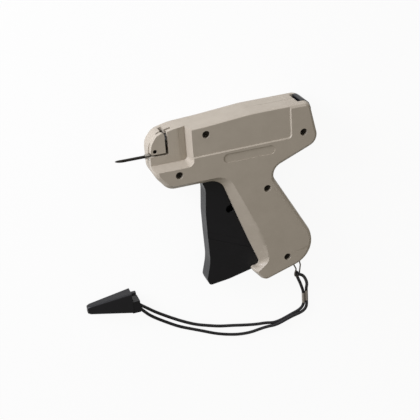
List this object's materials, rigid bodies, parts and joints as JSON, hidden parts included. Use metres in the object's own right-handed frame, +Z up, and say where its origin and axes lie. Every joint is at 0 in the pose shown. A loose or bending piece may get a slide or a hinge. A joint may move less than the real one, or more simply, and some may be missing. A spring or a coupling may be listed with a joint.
{
  "type": "garment tag attacher",
  "caption": "Hand-held garment tag attacher: beige two-part case, black trigger and thumb button, slotted needle, lanyard with needle cap.",
  "frame": {"origin": "under the middle of the case, needle and clip, on the surface that the right side lies on", "axes": "+X to the rear of the tool, along the needle; +Y to the top of the case; +Z up, to the left side"},
  "size_m": [0.1758, 0.1947, 0.028],
  "materials": {
    "case_plastic": "moulded beige, slightly satin",
    "black_plastic": "moulded black",
    "grey_plastic": "moulded grey, inside the case",
    "steel": "bright steel",
    "needle_steel": "polished steel",
    "crimp_metal": "pressed bright metal",
    "black_cord": "fine black braid"
  },
  "bodies": {
    "case": {"left_shell": "case_plastic", "right_shell": "case_plastic", "shell_screws": "steel", "lock_lever_pin": "steel", "needle": "needle_steel", "needle_base": "needle_steel", "cutter_blade": "steel", "trigger_pivot_pin": "steel", "drive_lever_pin": "steel", "feed_wheel_axle": "steel", "feed_pawl_pin": "steel", "lanyard_clip": "steel", "lanyard_loop": "black_cord", "lanyard_upper_strand": "black_cord", "lanyard_lower_strand": "black_cord", "crimp_ferrule": "crimp_metal", "needle_cap": "black_plastic"},
    "trigger": {"trigger": "black_plastic", "trigger_roller_pin": "steel"},
    "drive_lever": {"drive_lever": "grey_plastic", "return_spring": "steel"},
    "slider": {"slider": "grey_plastic", "slider_pin": "steel", "push_rod": "steel"},
    "lock_lever": {"needle_lock_lever": "case_plastic"},
    "feed_wheel": {"feed_wheel": "grey_plastic"},
    "feed_pawl": {"feed_pawl": "grey_plastic"},
    "release_button": {"release_button": "black_plastic", "release_bar": "steel", "button_spring": "steel"}
  },
  "joints": [
    {"name": "trigger_squeeze", "type": "hinge", "parent": "case", "child": "trigger", "pos_m": [-0.00802, 0.0337, 0.014], "axis": [0, 0, 1], "range_deg": [0, 20], "stiffness_Nm_per_rad": 0.9, "springref_deg": -5.73},
    {"name": "drive_lever_swing", "type": "hinge", "parent": "case", "child": "drive_lever", "pos_m": [0.01627, 0.0064, 0.014], "axis": [0, 0, 1], "range_deg": [0, 49.7], "deforming": ["return_spring"]},
    {"name": "slider_stroke", "type": "slide", "parent": "case", "child": "slider", "axis": [-1, 0, 0], "range_m": [0, 0.0401]},
    {"name": "lock_lever_hinge", "type": "hinge", "parent": "case", "child": "lock_lever", "pos_m": [-0.04512, 0.0539, 0.0165], "axis": [0, 0, 1], "range_deg": [0, 45]},
    {"name": "feed_wheel_turn", "type": "hinge", "parent": "case", "child": "feed_wheel", "pos_m": [-0.03702, 0.0573, 0.008], "axis": [1, 0, 0], "range_deg": [0, 36.2]},
    {"name": "feed_pawl_swing", "type": "hinge", "parent": "case", "child": "feed_pawl", "pos_m": [-0.02902, 0.0429, 0.007], "axis": [1, 0, 0], "range_deg": [0, 12.2]},
    {"name": "release_button_press", "type": "slide", "parent": "case", "child": "release_button", "axis": [-1, 0, 0], "range_m": [0, 0.002], "stiffness_N_per_m": 500, "springref_m": -0.001, "deforming": ["button_spring"]}
  ],
  "couplings": [
    {"joint": "drive_lever_swing", "follows": "trigger_squeeze", "ratio": 2.48},
    {"joint": "slider_stroke", "follows": "trigger_squeeze", "m_per_rad": 0.1146},
    {"joint": "feed_wheel_turn", "follows": "trigger_squeeze", "ratio": 1.8},
    {"joint": "feed_pawl_swing", "follows": "trigger_squeeze", "ratio": 0.6}
  ]
}
